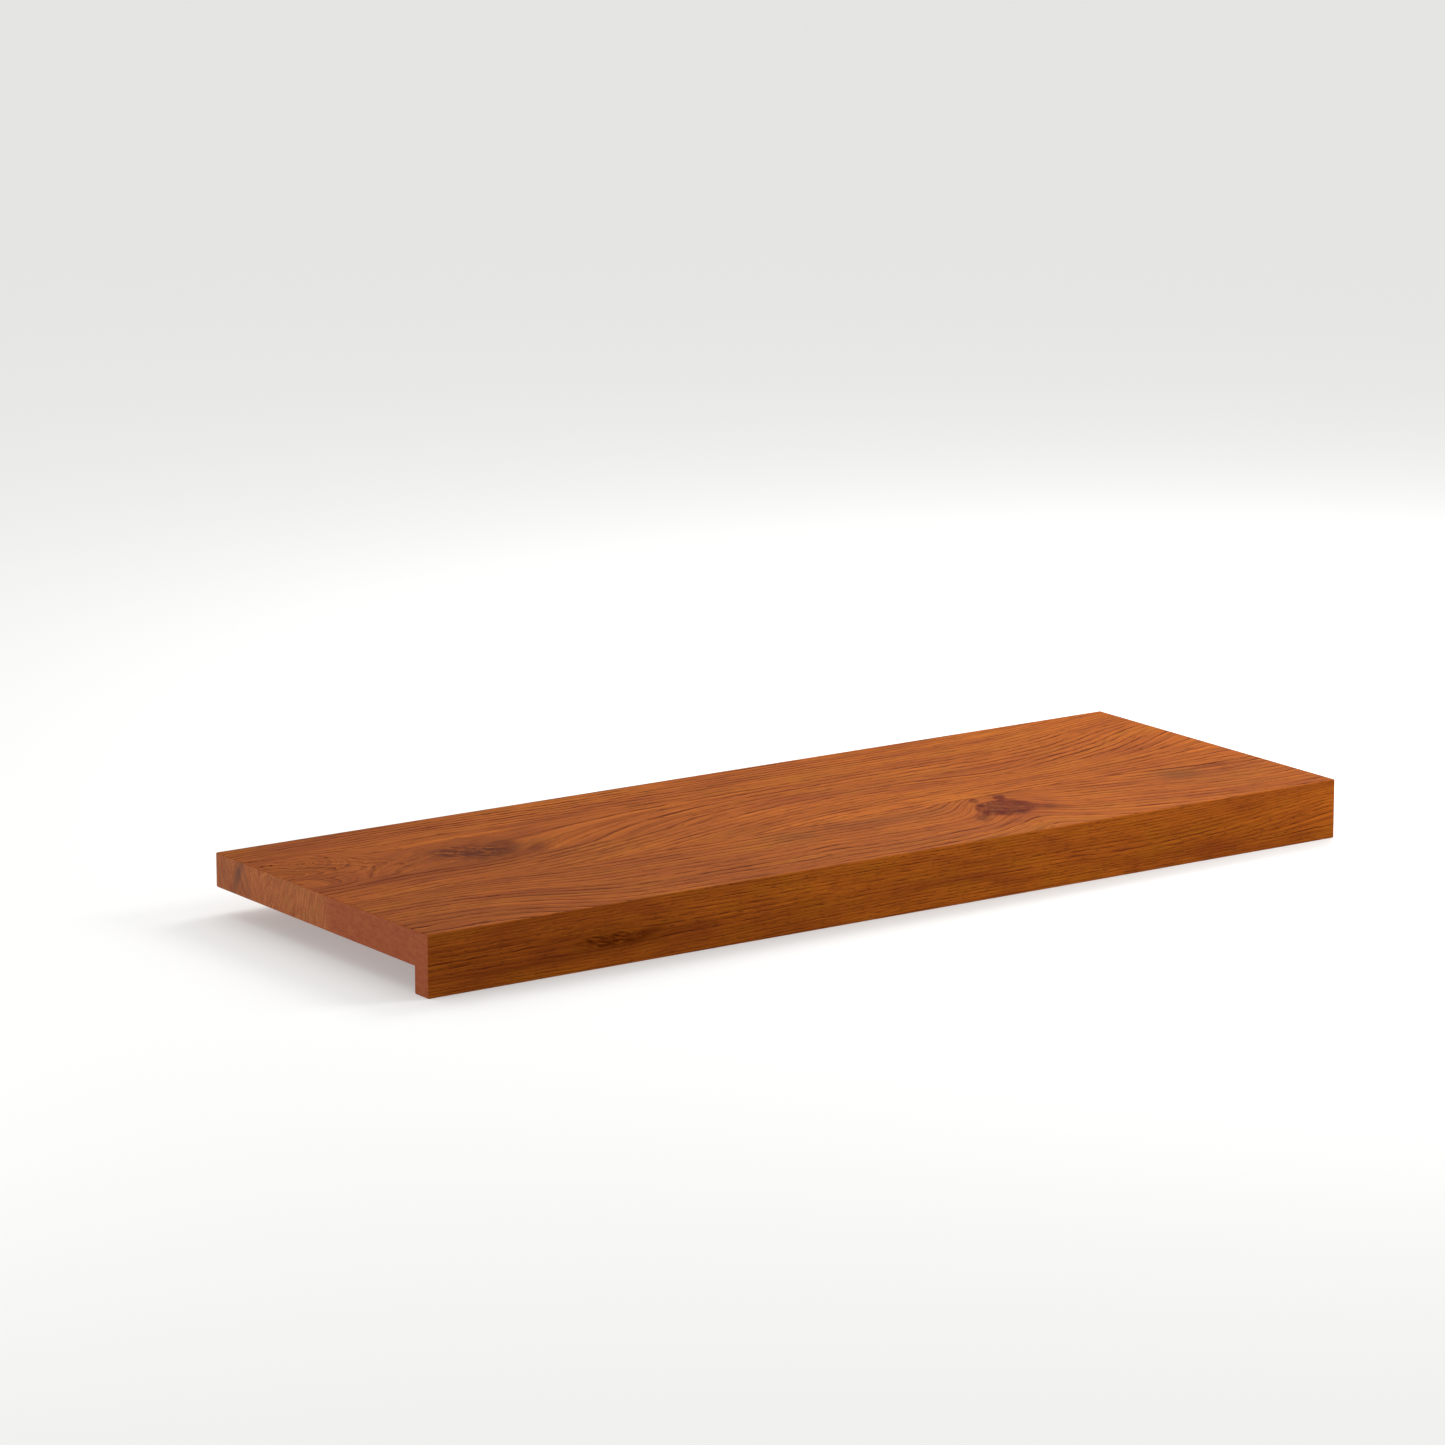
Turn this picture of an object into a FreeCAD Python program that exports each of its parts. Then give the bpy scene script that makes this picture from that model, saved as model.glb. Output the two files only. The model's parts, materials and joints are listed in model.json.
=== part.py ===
# Stair tread of solid wood with a drop lip along its front edge.
# The tread is one L-shaped length of stock: a flat board that the foot meets, and a lip
# that turns down at the front and covers the edge of the step under it.
#
# Frame: +X along the tread from its left end to its right end, +Y from the lip to the back
# edge, +Z up. The origin is in the middle of the length and the depth, at the lip's foot.

import os

import FreeCAD
import Part

# Driving dimensions, in millimetres
tread_length = 800.0  # end to end, across the stair
tread_depth = 285.0  # front face of the lip to the back edge
board_thickness = 25.4  # flat board behind the lip
lip_drop = 19.6  # how far the lip reaches below the board's underside
lip_thickness = 17.5  # front to back, at the lip's foot
arris_radius = 1.0  # easing of every outer edge

# Levels and faces that follow from them
front_y = -tread_depth / 2
back_y = tread_depth / 2
lip_back_y = front_y + lip_thickness
underside_z = lip_drop
top_z = lip_drop + board_thickness
left_x = -tread_length / 2


def section_corners():
    """Corners of the L section in the plane of the left end, from the lip's foot round to the seat."""
    outline = [
        (front_y, 0.0),
        (front_y, top_z),
        (back_y, top_z),
        (back_y, underside_z),
        (lip_back_y, underside_z),
        (lip_back_y, 0.0),
    ]
    return [FreeCAD.Vector(left_x, y, z) for y, z in outline]


def square_stock():
    """The L section carried along the length, with every edge still sharp."""
    corners = section_corners()
    section = Part.Face(Part.makePolygon(corners + corners[:1]))
    return section.extrude(FreeCAD.Vector(tread_length, 0, 0))


def is_seat_corner(edge):
    """True for the one hollow edge, where the back of the lip meets the underside."""
    return all(
        abs(vertex.Y - lip_back_y) < Part.Precision.confusion()
        and abs(vertex.Z - underside_z) < Part.Precision.confusion()
        for vertex in edge.Vertexes
    )


def stair_tread():
    """The finished tread: every outer edge eased, the seat corner left square to fit over a step."""
    stock = square_stock()
    outer_edges = [edge for edge in stock.Edges if not is_seat_corner(edge)]
    return stock.makeFillet(arris_radius, outer_edges)


def main():
    os.makedirs("parts", exist_ok=True)
    tread = stair_tread()
    tread.exportStep("parts/stair_tread.step")
    box = tread.BoundBox
    print("stair_tread: valid", tread.isValid(), "solids", len(tread.Solids), "faces", len(tread.Faces))
    print(f"size {box.XLength:.1f} x {box.YLength:.1f} x {box.ZLength:.1f} mm, volume {tread.Volume:.0f} mm3")


main()
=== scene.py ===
# Stair tread of stained solid wood: an eased L section carried along its length, with the grain
# worked out as a flow that swells and parts round knots, on a pale floor in soft light.
# Millimetres in the arrays, metres in the scene. +X along the tread, +Y from lip to back, +Z up.
import json
import math
from functools import partial

import bpy
import numpy as np
from mathutils import Matrix, Vector


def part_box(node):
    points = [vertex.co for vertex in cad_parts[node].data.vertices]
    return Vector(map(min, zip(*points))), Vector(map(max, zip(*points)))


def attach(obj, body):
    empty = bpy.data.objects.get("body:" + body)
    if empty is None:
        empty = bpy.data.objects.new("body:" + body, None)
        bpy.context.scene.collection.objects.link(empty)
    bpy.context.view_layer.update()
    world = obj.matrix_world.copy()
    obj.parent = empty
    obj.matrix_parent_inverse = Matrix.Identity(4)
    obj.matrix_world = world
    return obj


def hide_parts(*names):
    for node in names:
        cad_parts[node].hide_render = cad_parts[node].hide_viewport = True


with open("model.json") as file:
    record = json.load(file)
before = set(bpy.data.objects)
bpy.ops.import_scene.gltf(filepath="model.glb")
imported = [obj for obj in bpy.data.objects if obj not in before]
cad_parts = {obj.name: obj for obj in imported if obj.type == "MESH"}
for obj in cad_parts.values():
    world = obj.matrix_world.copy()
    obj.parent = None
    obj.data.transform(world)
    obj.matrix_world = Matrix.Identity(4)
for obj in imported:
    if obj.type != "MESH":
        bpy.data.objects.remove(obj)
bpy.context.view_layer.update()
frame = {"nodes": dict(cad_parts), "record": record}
mm = 0.001
print("frame loaded:", sorted(frame["nodes"]))

# Section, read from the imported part
low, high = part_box("stair_tread")
mountAt = {mount["name"]: mount["pos_m"] for mount in frame["record"]["mounts"]}
section = {
    "left": low.x / mm, "right": high.x / mm,
    "front": low.y / mm, "back": high.y / mm,
    "foot": low.z / mm, "top": high.z / mm,
    "underside": mountAt["underside_seat"][2] / mm,  # the board rests here
    "lipBack": mountAt["lip_back"][1] / mm,  # the lip hooks over the step here
}
treadLength = section["right"] - section["left"]
treadDepth = section["back"] - section["front"]

# What a user would change in the mesh, lengths in mm
meshing = {
    "arris": 1.0,  # radius that eases every outer edge
    "arrisSteps": 4,  # facets round an eased edge
    "along": 3.2,  # between stations along the length
    "across": 2.2,  # between stations round the section
    "narrow": 0.3,  # strip beside an eased edge, which keeps the flat next to it flat
    "staveJoint": 178.0,  # from the back edge to where the two staves of the board meet
    "weldSteps": 1e4,  # to a mm: points that agree to one such step become one
}


def stations(start, end, step):
    # even places from start to end, with a narrow gap at either end
    count = max(int(round(abs(end - start) / step)), 2)
    gap = math.copysign(meshing["narrow"], end - start)
    return np.concatenate([[start], np.linspace(start + gap, end - gap, count), [end]])


def sectionRing():
    # The section as two arrays: a core outline that lies one arris radius inside the wood, and for
    # each of its points the way it moves out. Point = core + radius x way, so a smaller radius
    # draws the section in, and on an outer corner the way turns through a quarter circle.
    r = meshing["arris"]
    step = meshing["across"]
    yFront, yLip, yBack = section["front"] + r, section["lipBack"] - r, section["back"] - r
    zFoot, zUnder, zTop = section["foot"] + r, section["underside"] + r, section["top"] - r
    yJoint = section["back"] - meshing["staveJoint"]
    yLipPart = stations(yFront, yLip, step)
    yBoard = np.concatenate([stations(yLip, yJoint, step), stations(yJoint, yBack, step)[1:]])
    zLipPart, zBoard = stations(zFoot, zUnder, step), stations(zUnder, zTop, step)
    ys = np.concatenate([yLipPart, yBoard[1:]])
    zs = np.concatenate([zLipPart, zBoard[1:]])
    # each flat: its places, whether they run in y, the fixed coordinate, its outward way
    flats = {
        "front": (zs, False, yFront, (-1, 0)),
        "top": (ys, True, zTop, (0, 1)),
        "back": (zBoard[::-1], False, yBack, (1, 0)),
        "underside": (yBoard[::-1], True, zUnder, (0, -1)),
        "lipBack": (zLipPart[::-1], False, yLip, (1, 0)),
        "foot": (yLipPart[::-1], True, zFoot, (0, -1)),
    }
    names = list(flats)
    turn = np.linspace(0, np.pi / 2, meshing["arrisSteps"] + 1)[1:-1, None]
    core, way = [], []
    for name, nextName in zip(names, names[1:] + names[:1]):
        places, runsInY, fixed, out = flats[name]
        still = np.full(len(places), fixed)
        points = np.stack([places, still] if runsInY else [still, places], -1)
        ways = np.tile(np.array(out, float), (len(places), 1))
        share = (places - places[0]) / (places[-1] - places[0])
        if name == "underside":  # towards the hollow corner its places slide back with the lip
            ways[:, 0] += share
            points, ways = points[:-1], ways[:-1]
        if name == "lipBack":  # and the lip's slide down with the underside
            ways[:, 1] -= 1 - share
        core.append(points)
        way.append(ways)
        if name != "underside":  # an outer corner follows: a quarter turn about the core's corner
            nextOut = flats[nextName][-1]
            way.append(np.cos(turn) * np.array(out) + np.sin(turn) * np.array(nextOut))
            core.append(np.repeat(points[-1:], len(turn), 0))
    return np.concatenate(core), np.concatenate(way), ys, zs, len(yLipPart) - 1, len(zLipPart) - 1


def treadSurface():
    # The ring carried along the length. At each end the radius closes as a cosine while the place
    # along goes out as a sine, and a flat L of cells fills what is left.
    core, way, ys, zs, lipCells, lipRows = sectionRing()
    r = meshing["arris"]
    bend = np.linspace(np.pi / 2, 0, meshing["arrisSteps"] + 1)
    inset, closing = r * (1 - np.sin(bend)), r * np.cos(bend)
    body = stations(section["left"] + r, section["right"] - r, meshing["along"])[1:-1]
    xs = np.concatenate([section["left"] + inset, body, section["right"] - inset[::-1]])
    radii = np.concatenate([closing, np.full(len(body), r), closing[::-1]])
    outline = core[None] + radii[:, None, None] * way[None]
    skin = np.concatenate([np.broadcast_to(xs[:, None, None], outline.shape[:2] + (1,)), outline], -1)
    count, rim = skin.shape[:2]
    number = np.arange(count * rim).reshape(count, rim)
    after = np.roll(number, -1, 1)
    quads = [np.stack([number[:-1], number[1:], after[1:], after[:-1]], -1).reshape(-1, 4)]
    points = [skin.reshape(-1, 3)]
    # the two flat ends
    grid = np.arange(len(ys) * len(zs)).reshape(len(ys), len(zs))
    yGrid, zGrid = np.meshgrid(ys, zs, indexing="ij")
    cell, row = np.meshgrid(np.arange(len(ys) - 1), np.arange(len(zs) - 1), indexing="ij")
    inside = (row >= lipRows) | (cell < lipCells)
    a, b, c, d = grid[:-1, :-1], grid[1:, :-1], grid[1:, 1:], grid[:-1, 1:]
    start = count * rim
    for x, order in ((section["left"], (a, d, c, b)), (section["right"], (a, b, c, d))):
        points.append(np.stack([np.full(yGrid.shape, x), yGrid, zGrid], -1).reshape(-1, 3))
        quads.append(start + np.stack([corner[inside] for corner in order], -1))
        start += grid.size
    return np.concatenate(points), np.concatenate(quads)


def closeSeams(points, quads):
    # points at the same place become one, unused ones go, and a face whose edge closed up
    # keeps its three corners
    key = np.round(points * meshing["weldSteps"]).astype(np.int64)
    _, first, same = np.unique(key, axis=0, return_index=True, return_inverse=True)
    quads = same.reshape(-1)[quads]
    used, compact = np.unique(quads, return_inverse=True)
    quads = compact.reshape(quads.shape)
    points = points[first][used]
    shutStart = quads[:, 0] == quads[:, 3]
    shutEnd = quads[:, 1] == quads[:, 2]
    gone = shutStart & shutEnd
    whole = ~(shutStart | shutEnd)
    threes = np.concatenate([quads[shutStart & ~gone][:, :3], quads[shutEnd & ~gone][:, [0, 1, 3]]])
    return points, quads[whole], threes


# Grain of the walking face, in mm: x from the left end, v from the back edge. The board is two
# staves edge to edge, 0 at the back and 1 at the front. Every growth line has a level, which is the
# v that it would lie at if nothing bent it. A swell pushes the lines towards the front (push above
# nought) or the back, most at its middle, over its reach along and across.
grain = {
    # the dive under the left knot: x, reach along, v where it starts and where it is whole, push
    "dive": (80, 270, 52, 127, 62),
    "edgeDive": 0.4,  # share of that push on the narrow faces
    "backSwells": [  # of the back stave: x, v, reach along, reach across, push, power of the fall along
        (605, 121, 60, 20, 12, 2),  # the dip right of the middle
        (825, 64, 105, 72, -54, 2),  # the fan at the right end
    ],
    "burlSwells": [  # of the back stave too, on the wide faces only
        (25, 60, 34, 26, -20, 2),  # the arch over the burl at the left end
        (-10, 150, 75, 60, 15, 2),  # the sag under it
    ],
    "frontSwells": [  # of the front stave
        (0, 250, 140, 80, -46, 4),  # the step down from the left end
        (548, 200, 32, 55, -42, 2),  # the rise into the right knot
        (548, 275, 58, 34, -20, 1.6),  # the wider peak under it
        (770, 255, 140, 100, 34, 2),  # the sag at the right end
        (372, 235, 25, 40, -4, 2),  # a slight rise left of the middle
    ],
    # of each stave: marks along the levels, and how far apart the rings lie between each two of them
    "backRings": ([-200, 15, 56, 110, 400], [6.2, 6.2, 7.6, 6.4]),
    "frontRings": ([70, 226, 480], [7.0, 9.5]),
    # what the back stave's lines part round: x, v, half width, half height, and how wide they part
    "post": (148, 101, 30, 26, 0.6),
    # the knot of each stave: x, v, half width, half height of its spiral, and how red it is
    "knots": [(146, 101, 24, 22, 0.0), (549, 208, 17, 22, 1.0)],
    "burl": {  # of the back stave: closed loops about a middle at the left end, pointed to the right
        "middle": (0, 90),  # x, v
        "lean": 0.1,  # how far its axis falls to the front for each mm along
        "reach": 96, "upper": 54, "lower": 33,  # along, towards the back edge, towards the front
        "upperBend": 1.5, "lowerBend": 1.9,  # 1 makes a loop a pointed diamond, 2 an ellipse
        "rings": 6.0,  # from the middle to the outermost loop
    },
    "farOut": 9.0,  # in half widths, well outside every knot and the burl
    "show": 0.95,  # strength of the growth lines
    "boldLines": [  # lines that stand out darker: stave, x, level, reach along, reach across, strength
        (0, 510, 110, 110, 3, 1.0), (0, 300, 61, 55, 3, 0.3), (0, 570, 72, 100, 3, 0.8),
        (0, 90, 68, 100, 4, 0.7), (0, 90, 79, 100, 4, 0.6), (0, 690, 112, 50, 16, 0.6),
        (0, 280, 30, 200, 25, 0.8),
        (1, 190, 253, 110, 3, 0.9), (1, 60, 280, 90, 3, 0.9), (1, 150, 266, 70, 3, 0.6),
        (1, 745, 171, 32, 3, 1.2), (1, 440, 195, 60, 2.5, 0.7), (1, 535, 280, 80, 3, 0.8),
        (1, 548, 297, 80, 9, -0.8),
    ],
    # where the long lines die out: stave, x, v, reach along, reach across, edge (1 soft, 3 crisp), strength
    "hushes": [
        (0, 148, 99, 46, 31, 2, 0.85), (0, 310, 115, 90, 45, 1, 0.2),
        (1, 547, 212, 22, 25, 2, 0.9), (1, 515, 215, 26, 32, 1, 0.4),
    ],
    "crowding": (0.1, 1.2),  # least and most that is told apart
    "crowdingFade": 0.5,  # lines fade where crowding is less than this far above its least
    # stave, x, v, reach along, reach across, lean (x for each v), edge (1 soft, 3 crisp), strength
    "stains": {
        "dark": [  # knots and what darkens round them
            (0, 157, 101, 55, 29, 0, 1, 0.42), (0, 145.5, 100, 24, 19.5, 0.06, 2, 0.36),
            (0, 150, 109, 10, 10, 0.12, 2, 0.3), (0, 132, 95, 7.5, 11, -0.15, 2, 0.15),
            (0, 178.5, 103, 14, 18.5, -0.48, 2, 0.46), (0, 198, 117, 8, 14, -0.6, 1, 0.36),
            (0, 169, 132, 7, 10, -0.44, 1, 0.15), (0, 152, 122, 40, 9, 0, 1, 0.42),
            (0, 85, 138, 95, 9, 0, 1, 0.35),
            (1, 545, 215, 23.5, 25, -0.22, 3, 0.72), (1, 560, 185.5, 6, 7.5, -0.4, 2, 0.66),
            (1, 537, 184.5, 5, 7.5, -0.5, 2, 0.65), (1, 528, 203, 3.6, 10.5, -0.7, 2, 0.5),
            (1, 525, 218.6, 6, 10, -0.6, 2, 0.2), (1, 511, 232, 9, 13, -0.5, 1, 0.6),
            (1, 561.5, 213, 7.5, 8.5, -0.3, 2, 0.25), (1, 548, 203.5, 6, 6, 0.69, 2, 0.2),
            (1, 541.7, 210.4, 4, 4.2, 0.78, 2, -0.3), (1, 557, 218.5, 2.5, 3.2, -0.5, 2, -0.35),
            (1, 567, 231, 9, 13, -0.5, 1, 0.3), (1, 579, 235, 12, 15, 0.5, 1, 0.46),
            (1, 755, 195, 28, 3.5, 0, 1, 0.65),
        ],
        "grey": [  # smoky patches
            (1, 367, 200, 17, 18, 0, 1, 0.45), (1, 714, 203, 18, 16, 0, 1, 0.7),
            (1, 745, 225, 60, 25, 0, 1, 0.25), (1, 450, 195, 50, 16, 0, 1, 0.35),
        ],
        "red": [
            (0, 440, 106, 50, 12, 0, 1, 0.5), (0, 600, 102, 40, 12, 0, 1, 0.3),
            (0, 75, 30, 120, 20, 0, 1, 0.2), (1, 546, 222, 36, 24, 0, 1, 0.6),
            (0, 80, 135, 100, 16, 0, 1, 0.3),
        ],
        "pale": [  # tone: above nought lighter where less stain was taken up, below it darker where more was; the two at x 0 darken towards the left end
            (0, 470, 166, 230, 9, 0, 1, 0.25), (1, 0, 240, 230, 90, 0, 1, -0.3),
            (1, 500, 200, 90, 40, 0, 1, 0.1), (0, 0, 110, 150, 100, 0, 1, -0.18),
            (0, 690, 150, 120, 30, 0, 1, -0.2), (0, 420, 20, 120, 30, 0, 1, 0.1),
            (1, 750, 230, 90, 60, 0, 1, -0.12),
        ],
    },
    "frontSqueeze": 4.1,  # the front face shows the back stave's figure this much closer
    "frontThinning": 0.68,  # and this share of its rings, so that they stay apart
    "frontShorter": 1.7,  # its streaks and fibres are this much shorter
    "frontWider": 3.0,  # and this much wider than the squeezed figure would make them
    "frontShow": 0.78,  # strength of its growth lines
    "frontBold": 0.35,  # share of the bold lines' strength
    "frontLeast": 0.5,  # share of a line's strength that is left where the rings lie far apart
    "frontPaintedShade": (110, 18, 120, 24, -0.14),  # painted shade on its left part: x, depth, reach along, reach in depth, tone
    "plainSqueeze": 1.6,  # closeness of the figure on the hidden edges
    "plainStart": {"back": -30, "lipBack": -60, "foot": -110},  # v that they start at, off the walking face
    "endGap": 3.4,  # between the fine lines on the ends
    "endStretch": 5.0,  # the ends' streaks are this much shorter than those along the grain
    "endShow": (150, 0.22, 0.08),  # v of a change, strength of the ends' lines behind and in front of it
    "endStreaks": [  # smoky: v, depth, reach across, reach in depth, lean, strength
        (31, 11, 4.5, 14, 0.45, 0.75), (43, 13, 2.2, 12, -0.5, 0.4), (37, 16, 1.8, 12, -0.6, 0.35),
        (12, 14, 4, 9, 0.3, 0.2), (10, 13, 22, 30, 0, 0.16),
    ],
    # lean of the fine lines on the ends: v, and how far they slant back for each mm of depth
    "endLean": ([0, 24, 33, 40, 55, 72, 105, 116, 285], [-0.3, -0.2, 0.5, -0.5, -0.4, 0.7, 0.6, 0.15, 0.3]),
    "faceLayer": 7.3, "staveLayer": 3.1,  # keep the noise of one face or stave apart from the next
}
faceNames = ["left", "right", "top", "front", "back", "underside", "lipBack", "foot"]


def fall(x, v, place, power=2, crisp=1):
    # 1 at the middle of a soft patch, and e to the minus distance squared, in reaches, round it;
    # crisp raises that distance to a power, which keeps the middle level and the edge short
    midX, midV, reachX, reachV = place
    return np.exp(-(np.abs((x - midX) / reachX) ** power + ((v - midV) / reachV) ** 2) ** crisp)


def grainLevel(x, v, stave, isWide):
    # Level of the growth line through a place: v less the push of every swell and of the dive, which
    # grows evenly across and falls off along. Before that, the back stave's lines part round the
    # knot as water does round a post: the distance from the knot's middle line shrinks to a share
    # d / (parting + d), with d the distance squared in half widths.
    midX, midV, halfX, halfV, parting = grain["post"]
    away = ((x - midX) / halfX) ** 2 + ((v - midV) / halfV) ** 2
    parted = np.where(stave == 0, midV + (v - midV) * away / (parting + away), v)
    back, front = stave == 0, stave == 1
    diveX, reach, start, whole, push = grain["dive"]
    depth = np.clip((parted - start) / (whole - start), 0, 1)
    push = push * np.where(isWide, 1, grain["edgeDive"])
    level = parted - back * push * depth * np.exp(-np.abs((x - diveX) / reach) ** 3)
    for where, kind in ((back, "backSwells"), (back & isWide, "burlSwells"), (front, "frontSwells")):
        for *place, push, power in grain[kind]:
            level -= where * push * fall(x, parted, place, power)
    return level


def ringCount(level, stave):
    # rings counted up to a level: the length of each stretch between marks over its gap, added up
    count = np.zeros_like(level)
    for owner, (marks, gaps) in ((0, grain["backRings"]), (1, grain["frontRings"])):
        total = np.concatenate([[0], np.cumsum(np.diff(marks) / np.array(gaps))])
        count = np.where(stave == owner, np.interp(level, marks, total), count)
    return count


def burlPlace(x, v):
    # how far out of the burl's middle a place lies: 1 on the outermost loop. The loop's equation is
    # along to a power plus across to the same power, and the power differs above and below.
    burl = grain["burl"]
    midX, midV = burl["middle"]
    along = np.abs(x - midX) / burl["reach"]
    offset = v - midV - burl["lean"] * (x - midX)
    across = np.abs(offset) / np.where(offset < 0, burl["upper"], burl["lower"])
    bend = np.where(offset < 0, burl["upperBend"], burl["lowerBend"])
    return (along ** bend + across ** bend) ** (1 / bend)


def faceOf(middles):
    # the flat that a mesh face belongs to: the one whose plane is nearest to the face's middle
    x, y, z = middles.T
    reached = dict(left=x, right=x, top=z, front=y, back=y, underside=z, lipBack=y, foot=z)
    off = {name: np.abs(reached[name] - section[name]) for name in faceNames}
    off["lipBack"] = np.where(z > section["underside"], np.inf, off["lipBack"])
    off["underside"] = np.where(y < section["lipBack"], np.inf, off["underside"])
    return np.argmin(np.stack([off[name] for name in faceNames]).round(4), 0)


def unrolled(points, face, stave):
    # Where a corner of a mesh face lies on the pattern. The wide faces, top and underside, take their
    # own place, the front is squeezed, hidden edges take plain grain, and an end has fine lines that
    # slant down it. Crowding is how fast the level changes across there: below 1 the rings lie far apart.
    x, y, z = points.T
    along, across, depth = x - section["left"], section["back"] - y, section["top"] - z
    on = {name: face == number for number, name in enumerate(faceNames)}
    onWide, onEnd = on["top"] | on["underside"], on["left"] | on["right"]
    patternX = np.where(on["underside"], treadLength - along, along)
    patternV = np.where(on["front"], depth * grain["frontSqueeze"], across)
    inwards = {"back": depth, "lipBack": depth, "foot": treadDepth - across}
    for name, start in grain["plainStart"].items():
        patternV = np.where(on[name], start - inwards[name] * grain["plainSqueeze"], patternV)
    levelAt = partial(grainLevel, stave=stave, isWide=onWide)
    level = levelAt(patternX, patternV)
    change = (levelAt(patternX, patternV + 1) - levelAt(patternX, patternV - 1)) / 2
    middle = (section["top"] - section["underside"]) / 2
    slanted = across + np.interp(across, *grain["endLean"]) * (depth - middle)
    return {
        "front": on["front"], "onWide": onWide, "onEnd": onEnd,
        "across": across, "depth": depth,
        "x": np.where(onEnd, grain["endStretch"] * depth, patternX),
        "v": patternV,
        "level": np.where(onEnd, slanted, level),
        "crowding": np.where(onEnd, 1, np.clip(change, *grain["crowding"])),
    }


def lineStrength(spot, stave, loop):
    # How strongly the growth lines show: the face's own strength, more on the bold lines, less in the
    # hushes, and outside the burl in step with crowding. The ends have one strength behind a change
    # and another in front of it.
    front = spot["front"]
    bold = np.where(front, grain["frontShow"], grain["show"])
    for owner, *place, gain in grain["boldLines"]:
        gain = gain * np.where(front, grain["frontBold"], 1)
        bold += (stave == owner) * gain * fall(spot["x"], spot["level"], place)
    for owner, *place, crisp, gain in grain["hushes"]:
        bold *= 1 - (stave == owner) * gain * fall(spot["x"], spot["v"], place, crisp=crisp)
    close = (spot["crowding"] - grain["crowding"][0]) / grain["crowdingFade"]
    bold *= np.where(loop < 1, 1, np.clip(close, grain["frontLeast"] * front, 1))
    change, behind, ahead = grain["endShow"]
    return np.where(spot["onEnd"], np.where(spot["across"] > change, ahead, behind), bold)


def stainAmounts(spot, stave):
    # How much of each kind of stain lies at a corner: its soft patches added up, each leaning over by so
    # much x for each v. The front gets painted shade on its left part as well, through the pale amount, and
    # the ends only smoky streaks.
    amounts = {}
    for kind, patches in grain["stains"].items():
        amount = np.zeros(len(stave))
        for owner, midX, midV, reachX, reachV, lean, crisp, gain in patches:
            upright = spot["x"] - lean * (spot["v"] - midV)
            place = (midX, midV, reachX, reachV)
            amount += (stave == owner) * gain * fall(upright, spot["v"], place, crisp=crisp)
        amounts[kind] = np.where(spot["onEnd"], 0, amount)
    # painted shade: the front's left part is darkened through the stain tone
    *place, gain = grain["frontPaintedShade"]
    amounts["pale"] += spot["front"] * gain * fall(spot["x"], spot["depth"], place)
    for midV, midDepth, reachV, reachDepth, lean, gain in grain["endStreaks"]:
        upright = spot["across"] + lean * (spot["depth"] - midDepth)
        place = (midV, midDepth, reachV, reachDepth)
        amounts["grey"] += spot["onEnd"] * gain * fall(upright, spot["depth"], place)
    return amounts


def attributesOf(points, quads, threes):
    # What the finish reads at each corner of each mesh face, three numbers to a name. grainPath runs
    # along and across the grain, facePlace straight over the face, and patternPlace straight over
    # the figure. The rest are counts, strengths and amounts.
    middles = np.concatenate([points[quads].mean(1), points[threes].mean(1)])
    sides = np.repeat([4, 3], [len(quads), len(threes)])
    face = faceOf(middles)
    wide = np.isin(face, [faceNames.index("top"), faceNames.index("underside")])
    stave = (wide & (section["back"] - middles[:, 1] > meshing["staveJoint"])).astype(int)
    face, stave = np.repeat(face, sides), np.repeat(stave, sides)
    spot = unrolled(points[np.concatenate([quads.ravel(), threes.ravel()])], face, stave)
    x, v, level, front, onEnd = [spot[name] for name in ("x", "v", "level", "front", "onEnd")]
    rings = ringCount(level, stave) * np.where(front, grain["frontThinning"], 1)
    rings = np.where(onEnd, level / grain["endGap"], rings)
    loop = np.where(spot["onWide"] & (stave == 0), burlPlace(x, v), grain["farOut"])
    stain = stainAmounts(spot, stave)
    knotX, knotV, halfX, halfV, redKnot = np.array(grain["knots"]).T[:, stave]
    layer = face * grain["faceLayer"]
    shorter = np.where(front, grain["frontShorter"], 1)
    wider = np.where(front, grain["frontWider"], 1)
    return {
        "grainPath": (x * shorter, level / wider, layer + stave * grain["staveLayer"]),
        "facePlace": (x, np.where(front, spot["depth"], v), layer),
        "patternPlace": (x, v, layer),
        "growthRings": (rings, loop * grain["burl"]["rings"], lineStrength(spot, stave, loop)),
        "stains": (stain["dark"], stain["grey"], stain["red"]),
        "knotPlace": ((x - knotX) / halfX + onEnd * grain["farOut"], (v - knotV) / halfV, spot["crowding"]),
        # the stain tone, last of figure, carries the painted shade on the front's left part too
        "figure": (loop, redKnot, stain["pale"]),
        "endGrain": (onEnd, spot["across"], np.zeros(len(x))),
    }


def buildTread():
    points, quads, threes = closeSeams(*treadSurface())
    mesh = bpy.data.meshes.new("treadTimber")
    mesh.from_pydata((points * mm).tolist(), [], quads.tolist() + threes.tolist())
    for name, columns in attributesOf(points, quads, threes).items():
        values = np.stack(columns, -1).astype(np.float32)
        mesh.attributes.new(name, "FLOAT_VECTOR", "CORNER").data.foreach_set("vector", values.ravel())
    mesh.shade_smooth()
    mesh.update()
    tread = bpy.data.objects.new("treadTimber", mesh)
    bpy.context.scene.collection.objects.link(tread)
    print("tread:", len(points), "points,", 2 * len(quads) + len(threes), "triangles")
    return tread


def linear(hexColour):
    # sRGB hex to linear light
    parts = [int(hexColour[i:i + 2], 16) / 255 for i in (1, 3, 5)]
    return tuple(p / 12.92 if p <= 0.04045 else ((p + 0.055) / 1.055) ** 2.4 for p in parts) + (1.0,)


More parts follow.
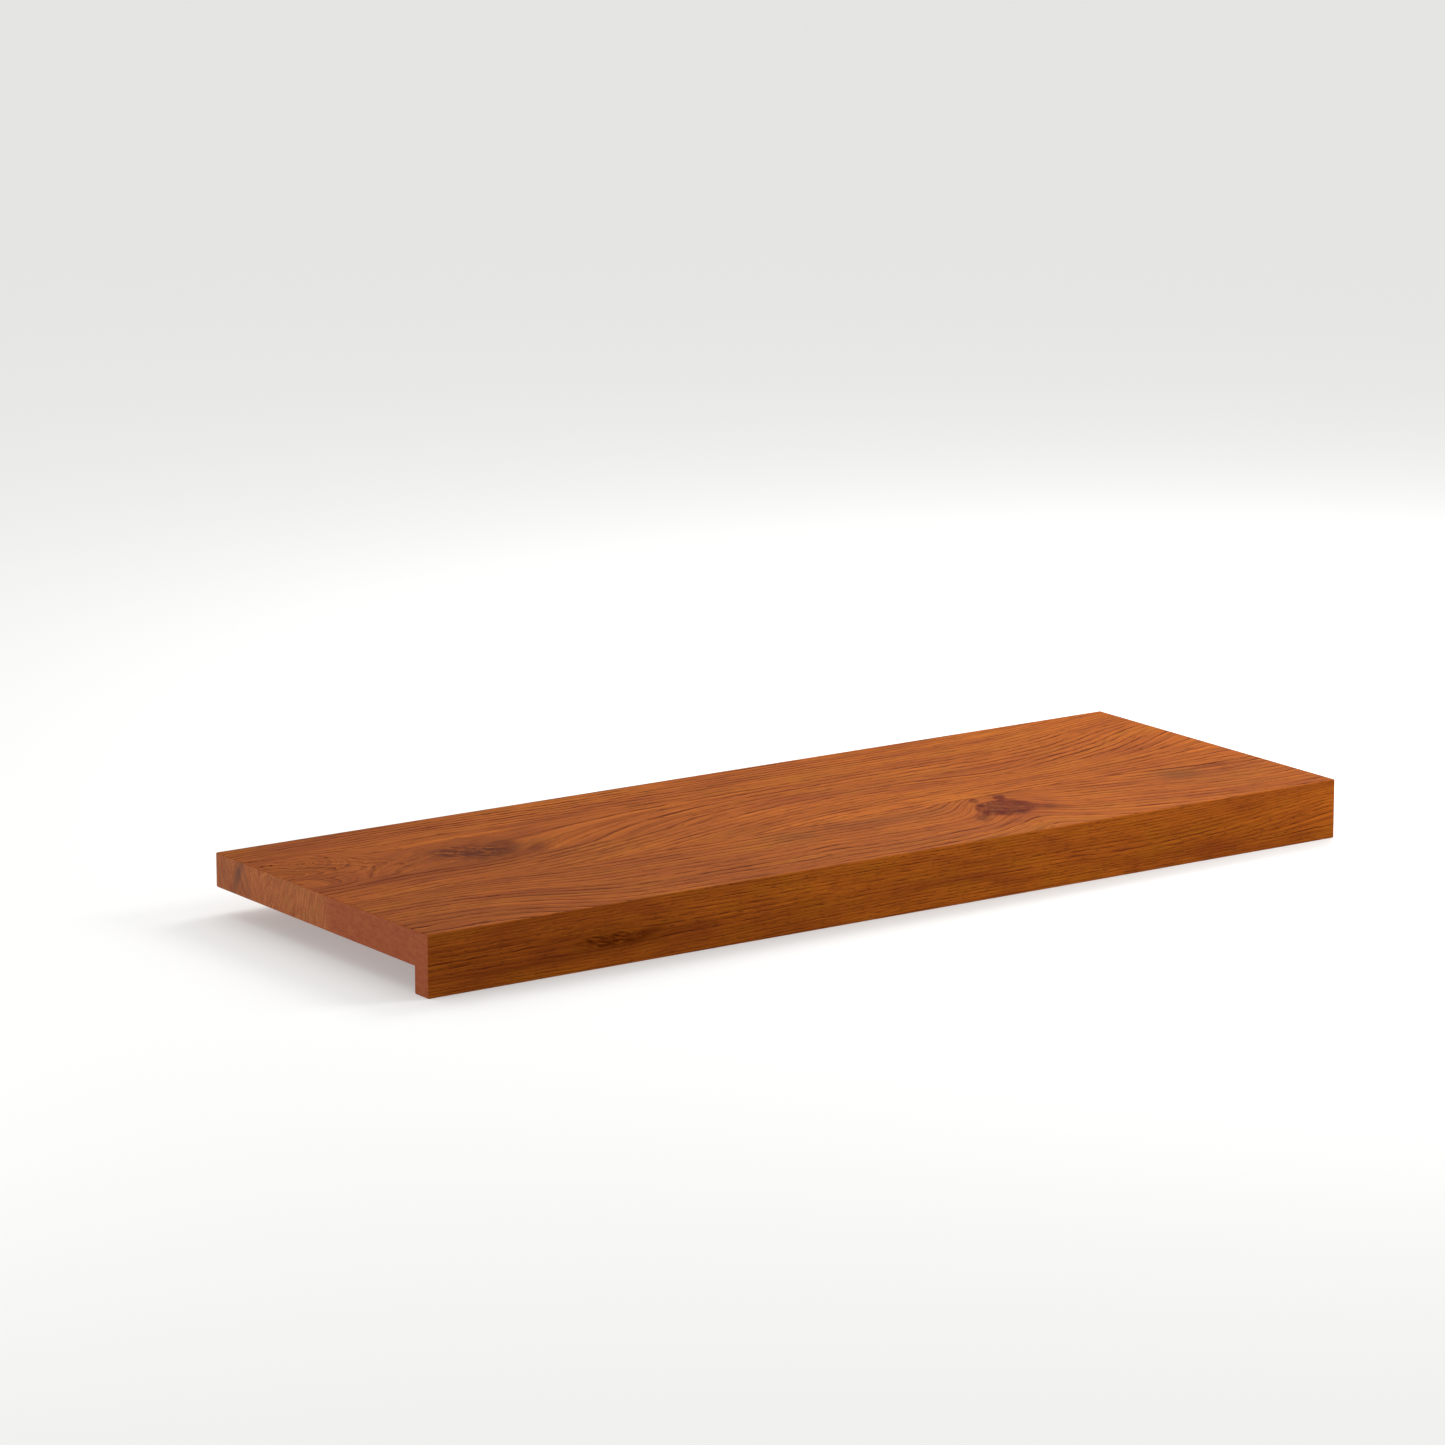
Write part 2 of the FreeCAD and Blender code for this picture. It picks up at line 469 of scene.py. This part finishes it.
def addNode(tree, kind, inputs=(), out=0, **settings):
    # one node with its settings; inputs are values or other nodes' outputs, in the order of the
    # sockets or by their names; gives back one output
    node = tree.nodes.new("ShaderNode" + kind)
    for name, value in settings.items():
        setattr(node, name, value)
    sockets = inputs.items() if isinstance(inputs, dict) else enumerate(inputs)
    for name, value in sockets:
        if isinstance(value, bpy.types.NodeSocket):
            tree.links.new(value, node.inputs[name])
        else:
            node.inputs[name].default_value = value
    return None if out is None else node.outputs[out]


# Stained oak under satin lacquer: sawn, planed, stained a warm brown and sealed. The eye gets dark
# growth lines with a soft side and a sharp side, silky streaks, fine pores, smoky patches, spiral
# knots and almost no gloss. The ends are duller and redder.
# A range is four numbers: where a value starts and stops, and what it gives at its start and stop.
oak = {
    "deep": "#803c0c", "light": "#b56019", "line": "#521f0b", "fibre": "#73380e", "pore": "#4a210b",
    "knot": "#541f00", "redKnot": "#561500", "smoke": "#6f3e17", "flush": "#7a3316", "ochre": "#a2600f",
    "endOchre": "#a5623a", "endOlive": "#8d6a34", "endDark": "#874a2f",
    "endRed": "#88452d", "endSmoke": "#5f3f32", "endLine": "#5a2c1b",
    "specular": 0.016,
    "dullness": (0, 1, 0.46, 0.64),  # roughness of clear wood and of its lines and pores
    "bump": (0.35, 0.0002),  # strength, and depth in metres
    "grainNoise": {  # length along and width across the grain, in mm, and detail
        "wobble": (160, 24, 2),  # drift of the growth lines
        "jitter": (22, 7, 2),  # their small unevenness
        "fade": (30, 5, 2),  # where a line thickens or dies away
        "band": (300, 16, 2),  # broad light and dark bands
        "streak": (70, 2.6, 3),  # silky streaks
        "hue": (80, 22, 2),  # redder and yellower wood
        "fibre": (30, 0.8, 3),  # fibres, wider than real ones so that they show
        "pore": (12, 0.8, 1),  # open vessels, short dashes, wider than real ones too
    },
    "placeNoise": {  # the same, but fixed to the face and not to the grain
        "patch": (150, 70, 2),  # slow change of tone
        "warp": (11, 11, 2),  # uneven edge of a knot
        "curl": (16, 10, 2),  # waves of the burl
        "fleck": (30, 5, 3),  # olive flecks on the ends
    },
    "noiseRoughness": 0.55,
    "mottle": (10, 4, 3, 0.6),  # light and dark inside a knot: length, width, detail, roughness
    "mottleTurn": 42.6,  # degrees from the grain
    "drawnOut": (0.6, 0.25, 0, 1),  # crowding below which narrower noise comes in
    "narrower": 4,  # how much narrower it is
    "tone": {  # range of each noise that makes the wood lighter
        "band": (0.35, 0.65, 0, 0.3), "streak": (0.3, 0.7, 0, 0.45), "patch": (0.3, 0.7, 0, 0.25),
    },
    "tints": {  # for each colour that is laid over the tone, its noise and range
        "flush": ("hue", (0.52, 0.72, 0, 0.4)), "ochre": ("hue", (0.48, 0.28, 0, 0.4)),
        "fibre": ("fibre", (0.45, 0.75, 0, 0.6)), "pore": ("pore", (0.6, 0.72, 0, 0.7)),
    },
    "lines": {  # lengths in rings
        "wobble": 0.5, "jitter": 0.3, "curl": 0.7,  # how far each noise moves a line
        "soft": (0.68, 1, 0, 1), "sharp": (0, 0.12, 1, 0),  # its two sides
        "pale": (0.12, 0.5, 0.3, 0),  # the clear wood after it
        "fade": (0.33, 0.67, 0.15, 1.4),  # strength where it dies away and where it thickens
        "weight": (0, 1, 0.5, 1.15),  # of one ring and the next, by chance
        "quiet": (0, 1, 1, 0.65),  # outside the burl and inside it
        "burlEdge": 0.1,  # share of the curl that moves the burl's edge
        "finer": 3,  # finer lines to every two rings
        "finerHalf": 0.3,  # half the width of one, in thirds of a ring
        "finerApart": (0.3, 0.9, 1.2, 0.2),  # their strength by crowding
        "finerInBurl": 0.3,
    },
    "knots": {  # lengths in half widths
        "warp": 1.1,  # how far noise moves a stroke
        "turns": 2.4,  # of the spiral in one half width
        "stroke": (0, 0.45, 1.12, 0.85),  # from a stroke's middle to the wood between
        "within": (0.8, 1.6, 1, 0),  # where the strokes end
        "lightest": (0, 1, 0.35, 0.7), "darkest": (0, 1, 1.5, 1.28),  # of the brown knot and the red one
        "mottled": (0.36, 0.62),  # from the lightest to the darkest
        "ragged": (0.15, 0.75, 0, 0.95), "veined": (0.36, 0.6, 0.55, 1.15),  # edge and veins of the red one
        "reddest": (0.42, 0.58, 0.1, 1),  # how much of its red shows
    },
    "ends": {  # lengths in mm, from the back edge
        "drift": (0, 1, -9, 9),  # unevenness of the zone's edge
        "zone": (146, 160, 0, 1),  # where ochre gives way to red-brown
        "clear": (0.3, 0.7, 0, 1), "cloud": (0.3, 0.7, 0, 0.35),  # ochre in the dark wood and in the red
        "forward": (60, 110, 0, 0.4), "fleck": (0.5, 0.66),  # olive flecks come in towards the zone
        "speckle": 0.9,  # share of the pores that show
    },
}


def woodNoise(add, place, crowding):
    # every noise by name; where the grain is drawn out, narrower noise takes over
    noise = {}
    drawnOut = add("MapRange", (crowding, *oak["drawnOut"]))
    for kind, source, narrower in (
        ("placeNoise", "facePlace", 1), ("grainNoise", "grainPath", 1),
        ("grainNoise", "grainPath", oak["narrower"]),
    ):
        for name, (length, width, detail) in oak[kind].items():
            size = (1 / length, narrower / width, 1)
            scaled = add("VectorMath", (place[source], size), operation="MULTIPLY")
            found = add("TexNoise", {
                "Vector": scaled, "Scale": 1.0, "Detail": detail, "Roughness": oak["noiseRoughness"]})
            if narrower != 1:
                found = add("Mix", {"Factor": drawnOut, "A": noise[name], "B": found})
            noise[name] = found
    length, width, detail, roughness = oak["mottle"]
    turn = (0, 0, math.radians(oak["mottleTurn"]))
    turned = add(
        "Mapping", {"Vector": place["patternPlace"], "Rotation": turn, "Scale": (length, width, 1)},
        vector_type="TEXTURE")
    noise["mottle"] = add("TexNoise", {
        "Vector": turned, "Scale": 1.0, "Detail": detail, "Roughness": roughness})
    return noise


def growthLines(add, rings, loop, crowding, noise):
    # dark lines where a ring ends: the tone deepens softly up to the edge and clears sharply after
    # it, to the ring's palest wood. Unevenness shrinks with crowding, so that it stays the same in mm.
    drawn = oak["lines"]
    moved = {}
    for name in ("wobble", "jitter", "curl"):
        moved[name] = add("MapRange", (noise[name], 0, 1, -drawn[name], drawn[name]))
    for name in ("wobble", "jitter"):
        moved[name] = add("Math", (moved[name], crowding), operation="MULTIPLY")
    outer = add("Math", (rings[0], moved["wobble"]), operation="ADD")
    inner = add("Math", (rings[1], moved["curl"]), operation="ADD")
    # inside the burl its own loops take the place of the long lines
    wave = add("Math", (moved["curl"], drawn["burlEdge"]), operation="MULTIPLY")
    edge = add("Math", (loop, wave), operation="ADD")
    inBurl = add("Math", (edge, 1.0), operation="LESS_THAN")
    either = add("Mix", {"Factor": inBurl, "A": outer, "B": inner})
    turned = add("Math", (either, moved["jitter"]), operation="ADD")
    past = add("Math", (turned,), operation="FRACT")
    number = add("Math", (turned,), operation="FLOOR")
    chance = add("TexWhiteNoise", {"W": number}, noise_dimensions="1D")
    soft = add("MapRange", (past, *drawn["soft"]), interpolation_type="SMOOTHSTEP")
    sharp = add("MapRange", (past, *drawn["sharp"]), interpolation_type="SMOOTHSTEP")
    line = add("Math", (soft, sharp), operation="MAXIMUM")
    fade = add("MapRange", (noise["fade"], *drawn["fade"]))
    weight = add("MapRange", (chance, *drawn["weight"]))
    quiet = add("MapRange", (inBurl, *drawn["quiet"]))
    for factor in (rings[2], fade, weight, quiet):
        line = add("Math", (line, factor), operation="MULTIPLY")
    # a finer family, which stands out where the rings lie far apart
    finer = add("Math", (turned, drawn["finer"]), operation="MULTIPLY")
    between = add("Math", (finer, 1.0), operation="PINGPONG")
    apart = add("MapRange", (crowding, *drawn["finerApart"]))
    shown = add("Mix", {"Factor": inBurl, "A": apart, "B": drawn["finerInBurl"]})
    thin = add("MapRange", (between, 0, drawn["finerHalf"], shown, 0))
    for factor in (fade, rings[2]):
        thin = add("Math", (thin, factor), operation="MULTIPLY")
    pale = add("MapRange", (past, *drawn["pale"]))
    paled = add("Math", (pale, fade), operation="MULTIPLY")
    return add("Math", (line, thin), operation="ADD", use_clamp=True), paled


def knotStrokes(add, knotPlace, redKnot, noise):
    # spiral strokes: the turn count grows with the distance from the middle and once round with
    # the angle, so the strokes wind outwards; 1 outside the knot, and mottled above and below it inside
    drawn = oak["knots"]
    warp = noise["warp"].node.outputs["Color"]
    flat = add("VectorMath", (knotPlace, (1, 1, 0)), operation="MULTIPLY")
    centred = add("VectorMath", (warp, (0.5, 0.5, 0.5)), operation="SUBTRACT")
    pushed = add("VectorMath", (centred, (drawn["warp"], drawn["warp"], 0)), operation="MULTIPLY")
    place = add("VectorMath", (flat, pushed), operation="ADD")
    radius = add("VectorMath", (place,), out="Value", operation="LENGTH")
    parts = add("SeparateXYZ", (place,)).node.outputs
    angle = add("Math", (parts[1], parts[0]), operation="ARCTAN2")
    turn = add("Math", (angle, 2 * math.pi), operation="DIVIDE")
    outwards = add("Math", (radius, drawn["turns"]), operation="MULTIPLY")
    winding = add("Math", (turn, outwards), operation="ADD")
    wound = add("Math", (winding,), operation="FRACT")
    stroke = add("Math", (wound, 0.5), operation="PINGPONG")
    dark = add("MapRange", (stroke, *drawn["stroke"]))
    lightest = add("MapRange", (redKnot, *drawn["lightest"]))
    darkest = add("MapRange", (redKnot, *drawn["darkest"]))
    mottle = add("MapRange", (noise["mottle"], *drawn["mottled"], lightest, darkest))
    dark = add("Math", (dark, mottle), operation="MULTIPLY")
    within = add("MapRange", (radius, *drawn["within"]))
    return add("Mix", {"Factor": within, "A": 1.0, "B": dark})


def knotStain(add, dark, redKnot, strokes, noise):
    # how dark a knot is, and its colour: the red one has a short, ragged edge and paler veins
    drawn = oak["knots"]
    dark = add("Math", (dark, strokes), operation="MULTIPLY", use_clamp=True)
    ragged = add("MapRange", (dark, *drawn["ragged"]), interpolation_type="SMOOTHSTEP")
    veined = add("MapRange", (noise["mottle"], *drawn["veined"]))
    ragged = add("Math", (ragged, veined), operation="MULTIPLY")
    reddest = add("MapRange", (noise["curl"], *drawn["reddest"]))
    redness = add("Math", (redKnot, reddest), operation="MULTIPLY")
    brown, red = linear(oak["knot"]), linear(oak["redKnot"])
    colour = add("Mix", {"Factor": redness, "A": brown, "B": red}, out=2, data_type="RGBA")
    return add("Mix", {"Factor": redKnot, "A": dark, "B": ragged}), colour


def endFigure(add, across, noise, lines, pore, smoke):
    # sawn end: ochre with fine slanted lines at the back, plain red-brown from near the staves' joint
    # to the lip
    drawn = oak["ends"]
    drift = add("MapRange", (noise["warp"], *drawn["drift"]))
    moved = add("Math", (across, drift), operation="ADD")
    zone = add("MapRange", (moved, *drawn["zone"]), interpolation_type="SMOOTHSTEP")
    clear = add("MapRange", (noise["streak"], *drawn["clear"]))
    cloud = add("MapRange", (noise["curl"], *drawn["cloud"]))
    forward = add("MapRange", (across, *drawn["forward"]))
    fleck = add("MapRange", (noise["fleck"], *drawn["fleck"], 0, forward))
    speckle = add("Math", (pore, drawn["speckle"]), operation="MULTIPLY")
    ochre, dark, brown = linear(oak["endOchre"]), linear(oak["endDark"]), linear(oak["endRed"])
    red = add("Mix", {"Factor": cloud, "A": brown, "B": ochre}, out=2, data_type="RGBA")
    sawn = add("Mix", {"Factor": clear, "A": dark, "B": ochre}, out=2, data_type="RGBA")
    for amount, colour in (
        (fleck, linear(oak["endOlive"])), (zone, red), (lines, linear(oak["endLine"])),
        (speckle, linear(oak["endLine"])), (smoke, linear(oak["endSmoke"])),
    ):
        sawn = add("Mix", {"Factor": amount, "A": sawn, "B": colour}, out=2, data_type="RGBA")
    return sawn


def stainedOak():
    material = bpy.data.materials.new("stainedOakSatin")
    material.use_nodes = True
    tree = material.node_tree
    tree.nodes.clear()
    add = partial(addNode, tree)
    place, split = {}, {}
    for name in ("grainPath", "facePlace", "patternPlace", "knotPlace"):
        place[name] = add("Attribute", out="Vector", attribute_name=name)
    for name in ("growthRings", "stains", "figure", "endGrain"):
        together = add("Attribute", out="Vector", attribute_name=name)
        split[name] = add("SeparateXYZ", (together,)).node.outputs
    loop, redKnot, pale = split["figure"]
    dark, grey, red = split["stains"]
    onEnd, across, _ = split["endGrain"]
    crowding = add("SeparateXYZ", (place["knotPlace"],), out=2)
    noise = woodNoise(add, place, crowding)
    lines, tone = growthLines(add, split["growthRings"], loop, crowding, noise)
    strokes = knotStrokes(add, place["knotPlace"], redKnot, noise)
    dark, knotty = knotStain(add, dark, redKnot, strokes, noise)
    # tone: the clear wood after each line, bands, streaks and patches added up, then the stain tone, which
    # holds the painted shade on the front's left part
    for name, numbers in oak["tone"].items():
        more = add("MapRange", (noise[name], *numbers))
        tone = add("Math", (tone, more), operation="ADD")
    tone = add("Math", (tone, pale), operation="ADD", use_clamp=True)
    deep, light = linear(oak["deep"]), linear(oak["light"])
    colour = add("Mix", {"Factor": tone, "A": deep, "B": light}, out=2, data_type="RGBA")
    tint = {}
    for name, (source, numbers) in oak["tints"].items():
        tint[name] = add("MapRange", (noise[source], *numbers))
    sawn = endFigure(add, across, noise, lines, tint["pore"], grey)
    for amount, over in (
        (tint["flush"], linear(oak["flush"])), (tint["ochre"], linear(oak["ochre"])),
        (tint["fibre"], linear(oak["fibre"])), (lines, linear(oak["line"])),
        (tint["pore"], linear(oak["pore"])), (red, linear(oak["flush"])),
        (grey, linear(oak["smoke"])), (dark, knotty), (onEnd, sawn),
    ):
        colour = add("Mix", {"Factor": amount, "A": colour, "B": over}, out=2, data_type="RGBA")
    # surface: lines and pores lie a little lower and duller
    sunk = add("Math", (lines, tint["pore"]), operation="ADD")
    height = add("Math", (tint["fibre"], sunk), operation="SUBTRACT")
    strength, distance = oak["bump"]
    bump = add("Bump", {"Height": height, "Strength": strength, "Distance": distance})
    dull = add("MapRange", (sunk, *oak["dullness"]))
    shader = add("BsdfPrincipled", {
        "Base Color": colour, "Roughness": dull, "Specular IOR Level": oak["specular"], "Normal": bump})
    add("OutputMaterial", {"Surface": shader}, out=None)
    return material


tread = buildTread()
tread.data.materials.append(stainedOak())
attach(tread, "root")
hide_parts("stair_tread")
print("tread finished")

# Stage: a pale floor, soft light from above and behind, two lamps to the right and one to the left
stage = {
    "floorSize": 60.0,  # metres
    "floorColour": "#d2d2d0", "floorGlow": 0.28,  # a lit sheet, so that shadows stay pale
    "floorRoughness": 0.9,
    "skyStrength": 0.4,
    "sunStrength": 1.4, "sunAngle": 80.0, "sunFrom": (0.2, 0.6, 1.0),  # how wide in degrees, and where from
    "lamps": {  # place, aim, size in metres, watts
        "rightLamp": ((1.0, -0.55, 0.75), (0.3, 0.0, 0.0), 0.5, 9.0),
        "overRight": ((0.75, 0.4, 0.9), (0.4, 0.1, 0.0), 0.5, 7.0),
        "leftLamp": ((-1.6, 0.2, 0.25), (-0.4, 0.0, 0.03), 0.6, 7.0),
    },
}


def buildFloor():
    # matte paper sweep: rolled paper, dull and even, that the eye takes for plain light ground
    half = stage["floorSize"] / 2
    mesh = bpy.data.meshes.new("paleFloor")
    corners = [(-half, -half, 0), (half, -half, 0), (half, half, 0), (-half, half, 0)]
    mesh.from_pydata(corners, [], [(0, 1, 2, 3)])
    floor = bpy.data.objects.new("paleFloor", mesh)
    bpy.context.scene.collection.objects.link(floor)
    material = bpy.data.materials.new("mattePaperSweep")
    material.use_nodes = True
    shader = material.node_tree.nodes["Principled BSDF"]
    shader.inputs["Base Color"].default_value = linear(stage["floorColour"])
    shader.inputs["Roughness"].default_value = stage["floorRoughness"]
    shader.inputs["Specular IOR Level"].default_value = 0.0
    shader.inputs["Emission Color"].default_value = (1, 1, 1, 1)
    shader.inputs["Emission Strength"].default_value = stage["floorGlow"]
    mesh.materials.append(material)


def buildLights():
    world = bpy.data.worlds.new("studioAir")
    bpy.context.scene.world = world
    world.use_nodes = True
    world.node_tree.nodes["Background"].inputs["Strength"].default_value = stage["skyStrength"]
    world.node_tree.nodes["Background"].inputs["Color"].default_value = (1, 1, 1, 1)
    sun = bpy.data.lights.new("overheadSoft", "SUN")
    sun.energy = stage["sunStrength"]
    sun.angle = math.radians(stage["sunAngle"])
    sunObject = bpy.data.objects.new("overheadSoft", sun)
    sunObject.matrix_world = Vector(stage["sunFrom"]).to_track_quat("Z", "Y").to_matrix().to_4x4()
    bpy.context.scene.collection.objects.link(sunObject)
    for name, (place, aim, size, watts) in stage["lamps"].items():
        lamp = bpy.data.lights.new(name, "AREA")
        lamp.energy = watts
        lamp.size = size
        lampObject = bpy.data.objects.new(name, lamp)
        turn = (Vector(aim) - Vector(place)).to_track_quat("-Z", "Y").to_matrix().to_4x4()
        lampObject.matrix_world = Matrix.Translation(Vector(place)) @ turn
        lampObject.visible_camera = False
        bpy.context.scene.collection.objects.link(lampObject)


buildFloor()
buildLights()

# Camera: where the picture was taken from, worked out from the tread's corners
camera = {
    "place": (-2.5798, -3.6523, 1.1287),  # metres
    "azimuth": -34.62, "elevation": 12.782, "roll": -0.11,  # degrees
    "lens": 156.79, "sensor": 36.0,  # mm
    "farthest": 200.0,  # metres that it sees
}


def buildCamera():
    data = bpy.data.cameras.new("longLens")
    data.sensor_width = camera["sensor"]
    data.lens = camera["lens"]
    data.clip_end = camera["farthest"]
    longLens = bpy.data.objects.new("longLens", data)
    turn = (
        Matrix.Rotation(math.radians(camera["azimuth"]), 4, "Z")
        @ Matrix.Rotation(math.radians(90 - camera["elevation"]), 4, "X")
        @ Matrix.Rotation(math.radians(camera["roll"]), 4, "Z"))
    longLens.matrix_world = Matrix.Translation(Vector(camera["place"])) @ turn
    bpy.context.scene.collection.objects.link(longLens)
    bpy.context.scene.camera = longLens
    bpy.context.scene.view_settings.view_transform = "Standard"


buildCamera()
print("stage and camera set")
